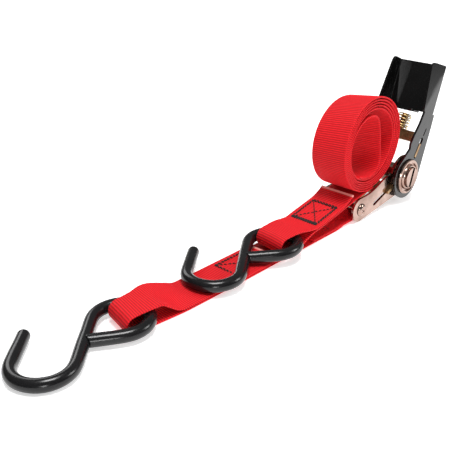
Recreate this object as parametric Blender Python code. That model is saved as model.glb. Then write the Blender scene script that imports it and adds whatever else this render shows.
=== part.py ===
"""Ratchet tie down: a ratchet buckle, a fixed strap and a long rolled strap, each strap with an S hook.

Metres, +Z up. X runs along the straps from the hooks to the ratchet, and Y runs across the webbing.
Sizes are first worked out from a datum under the front hook, then everything moves to its final origin.
"""

import math

import bmesh
import bpy
from mathutils import Vector

mm = 0.001

# Driving sizes, in millimetres where nothing else is said.
web_width = 25.4
web_thick = 1.2
gap = 0.3                      # clearance between pieces that touch
coat_radius = 3.5              # outside of the vinyl coating
coat_wall = 0.6
hook_bend_radius = 15.2        # middle of the wire
hook_eye_radius = 15.0
hook_shank = 37.7
hook_tip = 24.0
hook_shank_angle = 41.4        # degrees from X
hook_meeting = 0.49            # how far along the shank the cut end points
pin_to_mandrel = (48.0, 10.8)  # along and up, from the anchor rivet to the mandrel
plate_thick = 1.6
gear_thick = 1.8
gear_teeth = 10
mandrel_radius = 6.8
lobe_radius = 15.4             # handle arms round the mandrel
handle_length = 78.0           # from the mandrel's axis to the end of the grip
handle_angle = 70.5            # degrees from X, open
drive_pawl_angle = 56.0
lock_pawl_angle = 199.0
roll_radius = 33.5
roll_core = 20.0
roll_turns = 6
roll_middle = (264.7, 51.0)
roll_height = 0.95             # height over breadth, as it sags a little
roll_lean = 0.045              # how much lower its far rim is

# Places along the straps.
front_eye = (63.0, 0.9)
front_fold_x = 62.6
rear_hook_shift = (113.2, 0.0)
rear_hook_turn = -5.5          # degrees about Z, round the middle of the bend
rear_fold_x = 172.5
rear_loop_offset = -3.0        # Y of the long strap at its hook loop
front_loop_offset = 0.9
front_loop_skew = 10.67 / web_width  # X for each Y, where the fold lies along the hook's wire
rear_loop_skew = 3.05 / web_width
front_bunch = 1.0 - 19.3 / web_width  # share of the width lost where it is bunched into the eye
rear_bunch = 1.0 - 21.6 / web_width
bunch_flat = 6.0               # length of the loop that is fully bunched
bunch_length = 34.0            # length over which it spreads out again
front_closed_x = 108.0         # where the two layers of the front loop come together
front_sewn_x = (138.0, 174.0)  # the doubled and sewn length, to the flap's cut end
anchor_sewn_x = (205.0, 228.0)
rear_sewn_x = (206.5, 232.5)
rear_flap_x = 246.0            # loose end of the long strap's flap
rear_straight_x = 262.0        # where the long strap is back in line with the ratchet
run_slope = 8.0                # degrees the long strap climbs to the roll
anchor = (253.0, 8.0)
anchor_radius = 2.6
rivet_head = (4.2, 1.3)        # radius and thickness
shaft_room = 0.6               # clearance round the mandrel in the plates and arms
gear_radii = (9.9, 12.3)       # root and tip
cap_radius = 12.0
mandrel_slot = 1.3             # half the slot that the webbing goes through
mandrel_turn = 72.0            # degrees from X of the slot
pawl_thick = 2.2
pawl_travel_slot = (12.2, 36.0, 2.8)  # lock pawl's slot: start, end, width
drive_slot = (13.2, 28.6, 3.0)  # drive pawl's slot in the arms
drive_spring = (31.4, 42.0, 5, 3.2, 0.45)  # start, end, coils, radius, wire
lock_spring = (25.4, 38.2, 6, 2.9, 0.4)
thread_row = 0.9
thread_thick = 0.35
thread_inset = 2.6             # bare edge outside the sewn box
mandrel = (anchor[0] + pin_to_mandrel[0], anchor[1] + pin_to_mandrel[1])

# Widths across the ratchet, from its middle plane to each layer's inner face.
plate_in = web_width / 2 + 0.5
plate_out = plate_in + plate_thick
gear_in = plate_out + gap
gear_out = gear_in + gear_thick
arm_in = gear_out + gap
arm_out = arm_in + plate_thick
cap_in = arm_out + gap
cap_out = cap_in + 1.4
mandrel_end = cap_out + 2.2

parts = bpy.data.collections.new("ratchet_tie_down")
cutters = bpy.data.collections.new("cutters")


def clear_scene():
    for item in list(bpy.data.objects):
        bpy.data.objects.remove(item, do_unlink=True)


def make_material(name, colour, roughness, metallic=0.0):
    material = bpy.data.materials.new(name)
    material.use_nodes = True
    shader = material.node_tree.nodes["Principled BSDF"]
    shader.inputs["Base Color"].default_value = (*colour, 1.0)
    shader.inputs["Roughness"].default_value = roughness
    shader.inputs["Metallic"].default_value = metallic
    return material


def link(item, collection, material=None):
    """Keep an object in one collection, with its material."""
    for old in list(item.users_collection):
        old.objects.unlink(item)
    collection.objects.link(item)
    if material is not None:
        item.data.materials.clear()
        item.data.materials.append(material)
    if collection is cutters:
        item.hide_render = True
        item.display_type = "WIRE"
    return item


def polar(centre, radius, degrees):
    turn = math.radians(degrees)
    return (centre[0] + radius * math.cos(turn), centre[1] + radius * math.sin(turn))


def arc(centre, radius, start, end, steps):
    """Points on an arc, both ends included."""
    return [polar(centre, radius, start + (end - start) * i / steps) for i in range(steps + 1)]


def ease(value):
    value = min(1.0, max(0.0, value))
    return value * value * (3.0 - 2.0 * value)


def to_mesh(curve):
    """Turn a curve object into a closed mesh object in the same place."""
    bpy.context.view_layer.update()
    graph = bpy.context.evaluated_depsgraph_get()
    mesh = bpy.data.meshes.new_from_object(curve.evaluated_get(graph))
    builder = bmesh.new()
    builder.from_mesh(mesh)
    bmesh.ops.remove_doubles(builder, verts=builder.verts, dist=1e-6)
    bmesh.ops.recalc_face_normals(builder, faces=builder.faces)
    builder.to_mesh(mesh)
    builder.free()
    item = bpy.data.objects.new(curve.name + "_mesh", mesh)
    item.matrix_world = curve.matrix_world
    name = curve.name
    bpy.data.objects.remove(curve, do_unlink=True)
    item.name = name
    return item


def flat_piece(name, outline, holes, near_y, far_y, collection, material=None):
    """Extrude an outline of (x, z) points in millimetres from near_y to far_y."""
    curve = bpy.data.curves.new(name, "CURVE")
    curve.dimensions = "2D"
    curve.fill_mode = "BOTH"
    curve.extrude = (far_y - near_y) / 2 * mm
    curve.resolution_u = 1
    for loop in [outline] + holes:
        spline = curve.splines.new("POLY")
        spline.points.add(len(loop) - 1)
        for point, (x, z) in zip(spline.points, loop):
            point.co = (x * mm, z * mm, 0.0, 1.0)
        spline.use_cyclic_u = True
    item = bpy.data.objects.new(name, curve)
    item.rotation_euler = (math.pi / 2, 0.0, 0.0)
    item.location = (0.0, (near_y + far_y) / 2 * mm, 0.0)
    parts.objects.link(item)
    item = to_mesh(item)
    item.data.transform(item.matrix_world)
    item.matrix_world.identity()
    return link(item, collection, material)


def box(name, low, high, collection, material=None):
    """A box between two corners in millimetres."""
    bpy.ops.mesh.primitive_cube_add(size=1.0)
    item = bpy.context.object
    item.name = name
    size = [(high[i] - low[i]) * mm for i in range(3)]
    middle = [(high[i] + low[i]) / 2 * mm for i in range(3)]
    for vertex in item.data.vertices:
        vertex.co = [vertex.co[i] * size[i] + middle[i] for i in range(3)]
    return link(item, collection, material)


def cross_pin(name, centre, radius, near_y, far_y, collection, material=None, sides=32):
    """A round bar along Y at (x, z), in millimetres."""
    bpy.ops.mesh.primitive_cylinder_add(vertices=sides, radius=radius * mm, depth=(far_y - near_y) * mm)
    item = bpy.context.object
    item.name = name
    item.rotation_euler = (math.pi / 2, 0.0, 0.0)
    item.location = (centre[0] * mm, (near_y + far_y) / 2 * mm, centre[1] * mm)
    bpy.context.view_layer.update()
    item.data.transform(item.matrix_world)
    item.matrix_world.identity()
    return link(item, collection, material)


def combine(target, other, operation):
    """Join or cut one mesh with another, which is then removed."""
    change = target.modifiers.new("combine", "BOOLEAN")
    change.operation = operation
    change.solver = "EXACT"
    change.object = other
    bpy.context.view_layer.update()
    graph = bpy.context.evaluated_depsgraph_get()
    mesh = bpy.data.meshes.new_from_object(target.evaluated_get(graph))
    target.modifiers.clear()
    old = target.data
    target.data = mesh
    bpy.data.meshes.remove(old)
    bpy.data.objects.remove(other, do_unlink=True)


def clean(item):
    """Merge the slivers that a Boolean leaves."""
    builder = bmesh.new()
    builder.from_mesh(item.data)
    bmesh.ops.remove_doubles(builder, verts=builder.verts, dist=2e-6)
    bmesh.ops.dissolve_degenerate(builder, edges=builder.edges, dist=2e-6)
    builder.to_mesh(item.data)
    builder.free()


def round_off(item, angle=35.0):
    item.data.shade_smooth()
    item.data.set_sharp_from_angle(angle=math.radians(angle))


def set_origin(item, x, y, z):
    """Put an object's origin at a point in millimetres, without moving its shape."""
    place = Vector((x * mm, y * mm, z * mm))
    for vertex in item.data.vertices:
        vertex.co -= place - item.location
    item.location = place


def hook_path():
    """Middle of the hook's wire in its own plane, from the tip round the bend and the eye to the cut end."""
    angle = hook_shank_angle
    along = (math.cos(math.radians(angle)), math.sin(math.radians(angle)))
    shank_end = polar(front_eye, hook_eye_radius, angle + 90)
    shank_start = (shank_end[0] - hook_shank * along[0], shank_end[1] - hook_shank * along[1])
    bend = polar(shank_start, hook_bend_radius, angle + 90)
    tip_start = polar(bend, hook_bend_radius, angle + 90)
    tip_end = (tip_start[0] + hook_tip * along[0], tip_start[1] + hook_tip * along[1])
    meeting = polar(shank_start, hook_meeting * hook_shank, angle)
    reach = math.dist(meeting, front_eye)
    towards = math.degrees(math.atan2(front_eye[1] - meeting[1], front_eye[0] - meeting[0]))
    leg_angle = towards - math.degrees(math.asin(hook_eye_radius / reach))
    leg_length = math.sqrt(reach ** 2 - hook_eye_radius ** 2)
    lean = abs(math.cos(math.radians(angle - leg_angle)))
    clear = (coat_radius * (1 + lean) + gap) / math.sin(math.radians(angle - leg_angle))
    cut_end = polar(meeting, clear, leg_angle)
    leg_end = polar(meeting, leg_length, leg_angle)
    path = [tip_end, polar(tip_end, hook_tip / 2, angle + 180)]
    path += arc(bend, hook_bend_radius, angle + 90, angle + 270, 14)
    path += [polar(shank_start, hook_shank * step, angle) for step in (0.33, 0.66)]
    path += arc(front_eye, hook_eye_radius, angle + 90, leg_angle - 90, 18)
    path += [polar(cut_end, math.dist(cut_end, leg_end) / 2, leg_angle), cut_end]
    return path, bend


def hook_tube(name, path, radius, extra, rounded, resolution):
    """A wire along the path; extra lengthens the cut end and rounded draws the tip in."""
    points = [(x, y, 1.0) for x, y in path]
    end, before = path[-1], path[-2]
    reach = math.dist(end, before)
    points[-1] = (end[0] + (end[0] - before[0]) / reach * extra, end[1] + (end[1] - before[1]) / reach * extra, 1.0)
    tip, after = path[0], path[1]
    span = math.dist(tip, after)
    out = ((tip[0] - after[0]) / span, (tip[1] - after[1]) / span)
    if rounded:
        for share in (0.5, 0.87, 0.99):
            ahead = radius * share
            points.insert(0, (tip[0] + out[0] * ahead, tip[1] + out[1] * ahead, math.sqrt(1 - share ** 2)))
    curve = bpy.data.curves.new(name, "CURVE")
    curve.dimensions = "3D"
    curve.bevel_depth = radius * mm
    curve.bevel_resolution = resolution
    curve.use_fill_caps = True
    curve.resolution_u = 1
    spline = curve.splines.new("POLY")
    spline.points.add(len(points) - 1)
    for point, (x, y, size) in zip(spline.points, points):
        point.co = (x * mm, y * mm, 0.0, 1.0)
        point.radius = size
    item = bpy.data.objects.new(name, curve)
    parts.objects.link(item)
    return to_mesh(item)


def place_hook(item, low_z, high_z, turn, bend, shift, material):
    """Lay a hook down: its bend at height low_z, its eye at high_z, turned about the bend."""
    path_eye = front_eye[0] + hook_eye_radius
    slope = (high_z - low_z) / (path_eye - bend[0])
    cosine, sine = math.cos(math.radians(turn)), math.sin(math.radians(turn))
    for vertex in item.data.vertices:
        x, y, z = vertex.co / mm
        z += low_z + slope * (x - bend[0])
        across, up = x - bend[0], y - bend[1]
        vertex.co = (
            (bend[0] + across * cosine - up * sine + shift[0]) * mm,
            (bend[1] + across * sine + up * cosine + shift[1]) * mm,
            z * mm,
        )
    link(item, parts, material)
    round_off(item)


def make_hook(side, rest_z, turn, shift, vinyl, steel):
    """One S hook of steel wire in a vinyl coating; returns the middle of its eye's end."""
    path, bend = hook_path()
    tilt = (web_thick + gap) / (front_eye[0] + hook_eye_radius - bend[0])
    low = rest_z + coat_radius + tilt * hook_bend_radius
    high = low + web_thick + gap
    core_radius = coat_radius - coat_wall - gap
    core = hook_tube(side + "_hook_core", path, core_radius, 0.0, False, 1)
    coat = hook_tube(side + "_hook_coating", path, coat_radius, 0.0, True, 3)
    link(coat, parts)
    hollow = hook_tube(side + "_hollow", path, core_radius + gap, 2.0, False, 1)
    link(hollow, cutters)
    combine(coat, hollow, "DIFFERENCE")
    clean(coat)
    place_hook(core, low, high, turn, bend, shift, steel)
    place_hook(coat, low, high, turn, bend, shift, vinyl)
    cosine, sine = math.cos(math.radians(turn)), math.sin(math.radians(turn))
    across, up = front_eye[0] - bend[0], front_eye[1] - bend[1]
    eye = (
        bend[0] + across * cosine - up * sine + shift[0] + hook_eye_radius,
        bend[1] + across * sine + up * cosine + shift[1],
        high,
    )
    for item in (core, coat):
        set_origin(item, *eye)
    return eye


def offset(points, distance):
    """The same line moved sideways by distance, to its left."""
    moved = []
    for i, (x, z) in enumerate(points):
        before = points[max(i - 1, 0)]
        after = points[min(i + 1, len(points) - 1)]
        length = math.dist(before, after)
        moved.append((x - (after[1] - before[1]) / length * distance, z + (after[0] - before[0]) / length * distance))
    return moved


def hook_loop(fold_x, base_z, top_z, closed_x, stitch_x, joined_z):
    """Middle line of a loose loop: along the bottom to the fold, round it and back over the top.

    It starts and ends at stitch_x, where the lower layer's middle is at joined_z.
    The layers come together at closed_x, and lie slack against each other from there.
    """
    fold_radius = (top_z - base_z) / 2
    fold_middle = fold_x + fold_radius + web_thick / 2
    flat_x = fold_middle + 0.3 * (closed_x - fold_middle)
    slack = web_thick + gap
    below = []
    above = []
    steps = 16
    for i in range(steps + 1):
        share = i / steps
        x = stitch_x + (fold_middle - stitch_x) * share
        low = base_z + (joined_z - base_z) * ease((x - flat_x) / (stitch_x - flat_x))
        open_height = (top_z - base_z - slack) * (1.0 - ease((x - flat_x) / (closed_x - flat_x)))
        settle = gap * ease((x - closed_x) / max(stitch_x - closed_x, 1.0))
        below.append((x, low))
        above.append((x, low + open_height + slack - settle))
    bend = arc((fold_middle, (base_z + top_z) / 2), fold_radius, 270, 90, 10)
    return below[:-1] + bend + above[::-1][1:]


def squeeze(item, fold_x, loop_offset, skew, bunch, straight_x):
    """Bunch the webbing in towards a hook's eye, and shift and skew it there."""
    for vertex in item.data.vertices:
        x, y = vertex.co.x / mm, vertex.co.y / mm
        near_fold = 1.0 - ease((x - fold_x - bunch_flat) / bunch_length)
        aside = 1.0 - ease((x - fold_x) / (straight_x - fold_x))
        vertex.co.x += skew * near_fold * y * mm
        vertex.co.y = (y * (1.0 - bunch * near_fold) + loop_offset * aside) * mm


def make_fixed_strap(web, top_z):
    """The short strap: a loose loop for the front hook, and a loop sewn round the anchor rivet."""
    half = web_thick / 2
    base = half
    stitch_x, flap_end = front_sewn_x
    loop = hook_loop(front_fold_x, base, top_z, front_closed_x, stitch_x, base)
    wrap_radius = anchor_radius + gap + half
    wrap_flap, wrap_start = anchor_sewn_x
    rise = []
    fall = []
    for i in range(7):
        share = i / 6
        x = wrap_start + (anchor[0] - wrap_start) * share
        lift = ease(share)
        rise.append((x, base + (anchor[1] - wrap_radius - base) * lift))
        fall.append((x, base + web_thick + (anchor[1] + wrap_radius - base - web_thick) * lift))
    wrap = rise[:-1] + arc(anchor, wrap_radius, -90, 90, 10) + fall[::-1][1:]
    loop_out, loop_in = offset(loop, half), offset(loop, -half)
    wrap_out, wrap_in = offset(wrap, -half), offset(wrap, half)
    outline = [(stitch_x, 0.0)] + loop_out[1:-1] + [(stitch_x, 2 * web_thick)]
    outline += [(flap_end, 2 * web_thick), (flap_end, web_thick)]
    outline += [(wrap_flap, web_thick), (wrap_flap, 2 * web_thick), (wrap_start, 2 * web_thick)]
    outline += wrap_out[::-1][1:-1] + [(wrap_start, 0.0)]
    front_hole = [(stitch_x, web_thick)] + loop_in[1:-1]
    anchor_hole = [(wrap_start, web_thick)] + wrap_in[1:-1]
    strap = flat_piece("fixed_strap", outline, [front_hole, anchor_hole], -web_width / 2, web_width / 2, parts, web)
    squeeze(strap, front_fold_x, front_loop_offset, front_loop_skew, front_bunch, stitch_x)


def roll_line(centre):
    """Middle line of the rolled webbing, from the start inside to where it leaves under the roll.

    The turns lie close on the hook side and loose on the ratchet side.
    """
    half = web_thick / 2
    leave = -82.0
    steps_per_turn = 32
    total = roll_turns * steps_per_turn
    inner, outer = roll_core + half, roll_radius - half
    points = []
    for i in range(total + 1):
        turn = i / steps_per_turn - roll_turns
        angle = leave + 360.0 * turn
        share = i / total
        radius = inner + (outer - inner) * share
        points.append(polar((centre[0] - 4.6 * (1.0 - share), centre[1]), radius, angle))
    return points


def make_long_strap(web, lower_top, top_z):
    """The long strap: a loop for the rear hook, the run up the ratchet, and the roll, in one length."""
    half = web_thick / 2
    base = lower_top + gap + half
    stitch_x, stitch_end = rear_sewn_x
    roll = roll_line(roll_middle)
    leave = roll[-1]
    slope = math.tan(math.radians(run_slope))
    joined = leave[1] - (leave[0] - stitch_x) * slope
    loop = hook_loop(rear_fold_x, base, top_z, stitch_x, stitch_x, joined)
    loop_out, loop_in = offset(loop, half), offset(loop, -half)

    def run_z(x):
        return joined + (x - stitch_x) * slope

    roll_out, roll_in = offset(roll, -half), offset(roll, half)
    flap_start = (stitch_end, run_z(stitch_end) + 1.5 * web_thick)
    curl = []
    for i in range(1, 6):
        share = i / 5
        x = stitch_end + (rear_flap_x - stitch_end) * share
        curl.append((x, run_z(x) + web_thick + 0.4 + 3.2 * share ** 2))
    top_side = [(x, z + half) for x, z in curl]
    under_side = [(x, z - half) for x, z in curl]
    outline = [(stitch_x, joined - half)] + loop_out[1:-1] + [(stitch_x, joined + 1.5 * web_thick)]
    outline += [flap_start] + top_side + under_side[::-1] + [(stitch_end, run_z(stitch_end) + half)]
    outline += [(leave[0] - 8.0, run_z(leave[0] - 8.0) + half)]
    outline += roll_in[::-1] + roll_out
    hole = [(stitch_x, joined + half)] + loop_in[1:-1]
    strap = flat_piece("long_strap", outline, [hole], -web_width / 2, web_width / 2, parts, web)
    foot = roll_middle[1] - roll_radius
    for vertex in strap.data.vertices:
        x, y, z = vertex.co / mm
        if z > foot + 4.0:
            sag = 1.0 - roll_height + roll_lean * y / (web_width / 2)
            vertex.co.z = (z - (z - foot - 4.0) * sag) * mm
    squeeze(strap, rear_fold_x, rear_loop_offset, rear_loop_skew, rear_bunch, rear_straight_x)
    return run_z


def make_stitching(name, start_x, end_x, height, thread, offset_at):
    """A sewn box with a cross, as one flat pattern of thread on top of the webbing."""
    row = thread_row
    reach = web_width / 2 - thread_inset - row
    low_x, high_x = start_x + 1.0, end_x - 1.0
    pieces = [
        ((low_x, -reach), (low_x, reach), 2 * row),
        ((high_x, -reach), (high_x, reach), 2 * row),
        ((low_x, -reach), (high_x, -reach), row),
        ((low_x, reach), (high_x, reach), row),
        ((low_x, -reach), (high_x, reach), row),
        ((low_x, reach), (high_x, -reach), row),
    ]
    whole = None
    for i, (first, second, wide) in enumerate(pieces):
        length = math.dist(first, second) + row
        angle = math.atan2(second[1] - first[1], second[0] - first[0])
        low = (-length / 2, -wide / 2, 0.0)
        high = (length / 2, wide / 2, thread_thick)
        item = box(name if i == 0 else name + "_row", low, high, parts if i == 0 else cutters)
        middle = ((first[0] + second[0]) / 2, (first[1] + second[1]) / 2)
        for vertex in item.data.vertices:
            x, y = vertex.co.x / mm, vertex.co.y / mm
            vertex.co.x = (middle[0] + x * math.cos(angle) - y * math.sin(angle)) * mm
            vertex.co.y = (middle[1] + x * math.sin(angle) + y * math.cos(angle)) * mm
        if whole is None:
            whole = item
        else:
            combine(whole, item, "UNION")
    clean(whole)
    for vertex in whole.data.vertices:
        x = vertex.co.x / mm
        vertex.co.y += offset_at(x) * mm
        vertex.co.z += (height(x) + gap / 2) * mm
    link(whole, parts, thread)


def slot_outline(centre, angle, start, end, width):
    """A slot with round ends along a radius of the mandrel."""
    half = width / 2
    first = polar(centre, start + half, angle)
    second = polar(centre, end - half, angle)
    return arc(first, half, angle + 90, angle + 270, 6) + arc(second, half, angle - 90, angle + 90, 6)


def make_frame_plate(name, near_y, far_y, zinc):
    lobe = lobe_radius - 1.5
    nose = (anchor[0] - 1.5, anchor[1] + 0.2)
    nose_radius = 7.9
    outline = arc(nose, nose_radius, 270, 90, 12)
    top_end = polar(mandrel, lobe, 160)
    shoulder = (nose[0] + 8.0, nose[1] + nose_radius + 0.2)
    for i in range(6):
        share = i / 6
        x = shoulder[0] + (top_end[0] - shoulder[0]) * share
        outline.append((x, shoulder[1] + (top_end[1] - shoulder[1]) * ease(share)))
    outline += arc(mandrel, lobe, 160, -110, 22)
    holes = [
        arc(mandrel, mandrel_radius + shaft_room, 0, 350, 35),
        arc(anchor, anchor_radius + gap, 0, 340, 17),
        slot_outline(mandrel, lock_pawl_angle, *pawl_travel_slot),
    ]
    plate = flat_piece(name, outline, holes, near_y, far_y, parts, zinc)
    round_off(plate)


def make_anchor_rivet(zinc):
    """The rivet that the fixed strap is sewn round, with a head outside each plate."""
    head_radius, head_thick = rivet_head
    head_out = plate_out + gap + head_thick
    shank = cross_pin("anchor_rivet", anchor, anchor_radius, -plate_out - gap - 0.5, plate_out + gap + 0.5, parts)
    for low, high in ((-head_out, -plate_out - gap), (plate_out + gap, head_out)):
        head = cross_pin("rivet_head", anchor, head_radius, low, high, cutters, sides=24)
        combine(shank, head, "UNION")
    clean(shank)
    link(shank, parts, zinc)
    round_off(shank)


def make_crossbar(zinc):
    """The bar between the plates that the lock pawl's spring pushes against."""
    start, thick, tall = 38.6, 1.6, 3.6
    along = math.radians(lock_pawl_angle)
    bar = box("spring_crossbar", (start, -plate_in + gap, -tall), (start + thick, plate_in - gap, tall), parts, zinc)
    turn_about_mandrel(bar, along)


def turn_about_mandrel(item, angle):
    """Carry a piece built along +X from the mandrel's axis round to an angle in the XZ plane."""
    cosine, sine = math.cos(angle), math.sin(angle)
    for vertex in item.data.vertices:
        x, z = vertex.co.x, vertex.co.z
        vertex.co.x = mandrel[0] * mm + x * cosine - z * sine
        vertex.co.z = mandrel[1] * mm + x * sine + z * cosine


def plate_from_outline(name, outline, thick, angle, material):
    """A flat pawl in the plane of Y and a mandrel radius; the outline holds (radius, y) points."""
    turned = [(radius, -across) for radius, across in outline]
    piece = flat_piece(name, turned, [], -thick / 2, thick / 2, parts, material)
    for vertex in piece.data.vertices:
        x, y, z = vertex.co
        vertex.co = (x, -z, y)
    builder = bmesh.new()
    builder.from_mesh(piece.data)
    bmesh.ops.recalc_face_normals(builder, faces=builder.faces)
    builder.to_mesh(piece.data)
    builder.free()
    turn_about_mandrel(piece, math.radians(angle))
    return piece


def mirrored(half):
    """A symmetric outline from its +Y half, listed from the mandrel side to the far side."""
    return half + [(radius, -across) for radius, across in reversed(half)]


def make_pawls(zinc):
    ear_end = arm_out + 1.6
    drive = mirrored([
        (24.0, gear_in), (10.4, gear_in), (10.4, gear_out), (15.6, gear_out), (15.6, ear_end),
        (23.2, ear_end), (23.2, gear_out), (31.0, gear_out), (31.0, 2.0), (42.0, 2.0),
    ])
    drive_pawl = plate_from_outline("drive_pawl", drive, pawl_thick, drive_pawl_angle, zinc)
    set_origin(drive_pawl, *pawl_origin(drive_pawl_angle, 24.0))
    bar = plate_in - gap
    lock = mirrored([
        (12.8, gear_out), (21.0, gear_out), (21.0, bar), (25.0, bar), (25.0, 2.0), (34.0, 2.0),
    ])
    lock_pawl = plate_from_outline("lock_pawl", lock, pawl_thick, lock_pawl_angle, zinc)
    set_origin(lock_pawl, *pawl_origin(lock_pawl_angle, 24.0))


def pawl_origin(angle, radius):
    x, z = polar(mandrel, radius, angle)
    return (x, 0.0, z)


def make_spring(name, angle, sizes, steel):
    """A coil spring round a pawl's stem, along a radius of the mandrel."""
    start, end, coils, radius, wire = sizes
    curve = bpy.data.curves.new(name, "CURVE")
    curve.dimensions = "3D"
    curve.bevel_depth = wire * mm
    curve.bevel_resolution = 1
    curve.use_fill_caps = True
    curve.resolution_u = 1
    steps = 12 * coils
    spline = curve.splines.new("POLY")
    spline.points.add(steps)
    low, high = start + wire, end - wire
    for i in range(steps + 1):
        share = i / steps
        turn = 2 * math.pi * coils * share
        x = low + (high - low) * share
        point = (x * mm, radius * math.cos(turn) * mm, radius * math.sin(turn) * mm, 1.0)
        spline.points[i].co = point
    item = bpy.data.objects.new(name, curve)
    parts.objects.link(item)
    item = to_mesh(item)
    turn_about_mandrel(item, math.radians(angle))
    link(item, parts, steel)
    round_off(item, 60)
    set_origin(item, *pawl_origin(angle, end))


def gear_outline():
    """Ratchet teeth, with one gap centred on the drive pawl."""
    root, tip = gear_radii
    pitch = 360.0 / gear_teeth
    outline = []
    for tooth in range(gear_teeth):
        gap_middle = drive_pawl_angle + tooth * pitch
        outline.append(polar(mandrel, tip, gap_middle - 0.27 * pitch))
        outline.append(polar(mandrel, root, gap_middle - 0.25 * pitch))
        outline.append(polar(mandrel, root, gap_middle))
        outline.append(polar(mandrel, root, gap_middle + 0.25 * pitch))
        outline.append(polar(mandrel, tip, gap_middle + 0.62 * pitch))
    return outline


def make_spindle(zinc):
    hole = arc(mandrel, mandrel_radius + gap, 0, 350, 35)
    for side, sign in (("near", -1), ("far", 1)):
        low, high = sorted((sign * gear_in, sign * gear_out))
        gear = flat_piece("gear_" + side, gear_outline(), [hole], low, high, parts, zinc)
        low, high = sorted((sign * cap_in, sign * cap_out))
        cap = flat_piece("cap_disc_" + side, arc(mandrel, cap_radius, 0, 350, 35), [hole], low, high, parts, zinc)
        for item in (gear, cap):
            round_off(item)
            set_origin(item, mandrel[0], 0.0, mandrel[1])
    start = math.degrees(math.asin(mandrel_slot / mandrel_radius))
    for name, turn in (("mandrel_half_rear", mandrel_turn), ("mandrel_half_front", mandrel_turn + 180)):
        outline = arc(mandrel, mandrel_radius, turn - 180 + start, turn - start, 14)
        half = flat_piece(name, outline, [], -mandrel_end, mandrel_end, parts, zinc)
        round_off(half)
        set_origin(half, mandrel[0], 0.0, mandrel[1])


def handle_point(along, front):
    """A point of the handle in (x, z): along it from the mandrel, and towards its open front."""
    turn = math.radians(handle_angle)
    return (
        mandrel[0] + along * math.cos(turn) - front * math.sin(turn),
        mandrel[1] + along * math.sin(turn) + front * math.cos(turn),
    )


def make_handle(paint):
    """One folded plate: two arms, the channel of the grip and the spring's tab."""
    grip_start, grip_front = 44.4, 0.8
    rear = -lobe_radius
    step = plate_thick - 0.2
    arm_end = grip_start + 6.0
    side_rear = rear + 0.2
    side = [handle_point(handle_length, side_rear)]
    corner = 3.0
    middle = handle_point(handle_length - corner, grip_front - corner)
    side += arc(middle, corner, handle_angle, handle_angle + 90, 5)
    side += [handle_point(grip_start, grip_front), handle_point(grip_start, side_rear)]
    outline = [handle_point(arm_end, rear), handle_point(arm_end, -4.0), handle_point(grip_start, -1.8)]
    outline += [handle_point(36.0, 1.4), handle_point(28.0, 4.6), handle_point(22.0, 6.4), handle_point(18.5, 5.4)]
    outline += arc(mandrel, lobe_radius, handle_angle + 62, handle_angle + 270, 22)
    holes = [
        arc(mandrel, mandrel_radius + shaft_room, 0, 350, 35),
        slot_outline(mandrel, drive_pawl_angle, *drive_slot),
    ]
    handle = flat_piece("handle", outline, holes, -arm_out, -arm_in, parts, paint)
    combine(handle, flat_piece("far_arm", outline, holes, arm_in, arm_out, cutters), "UNION")
    near_side = flat_piece("near_side", side, [], -arm_out + step, -arm_in + step, cutters)
    far_side = flat_piece("far_side", side, [], arm_in - step, arm_out - step, cutters)
    inner = rear + plate_thick
    wall_start, wall_end = grip_start + 0.3, handle_length - 0.3
    wall_outline = [handle_point(wall_start, rear), handle_point(wall_start, inner)]
    wall_outline += [handle_point(wall_end, inner), handle_point(wall_end, rear)]
    wall = flat_piece("wall", wall_outline, [], -arm_out + step + 0.3, arm_out - step - 0.3, cutters)
    tab_outline = [handle_point(grip_start - 1.2, rear + 0.4), handle_point(grip_start - 1.2, -5.0)]
    tab_outline += [handle_point(grip_start + 0.6, -5.0), handle_point(grip_start + 0.6, rear + 0.4)]
    tab = flat_piece("tab", tab_outline, [], -7.0, 7.0, cutters)
    stem_hole = box("stem_hole", (38.0, -2.6, -1.7), (47.0, 2.6, 1.7), cutters)
    turn_about_mandrel(stem_hole, math.radians(drive_pawl_angle))
    combine(wall, tab, "UNION")
    combine(wall, stem_hole, "DIFFERENCE")
    combine(wall, near_side, "UNION")
    combine(wall, far_side, "UNION")
    combine(handle, wall, "UNION")
    clean(handle)
    link(handle, parts, paint)
    round_off(handle)
    set_origin(handle, mandrel[0], 0.0, mandrel[1])


def centre_on_origin():
    """Move the whole object so that its origin is under the middle of its outline."""
    low = Vector((1e9, 1e9, 1e9))
    high = -low
    for item in parts.objects:
        for vertex in item.data.vertices:
            place = vertex.co + item.location
            low = Vector(map(min, low, place))
            high = Vector(map(max, high, place))
    shift = Vector(((low.x + high.x) / 2, (low.y + high.y) / 2, low.z))
    for item in parts.objects:
        item.location -= shift


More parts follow.
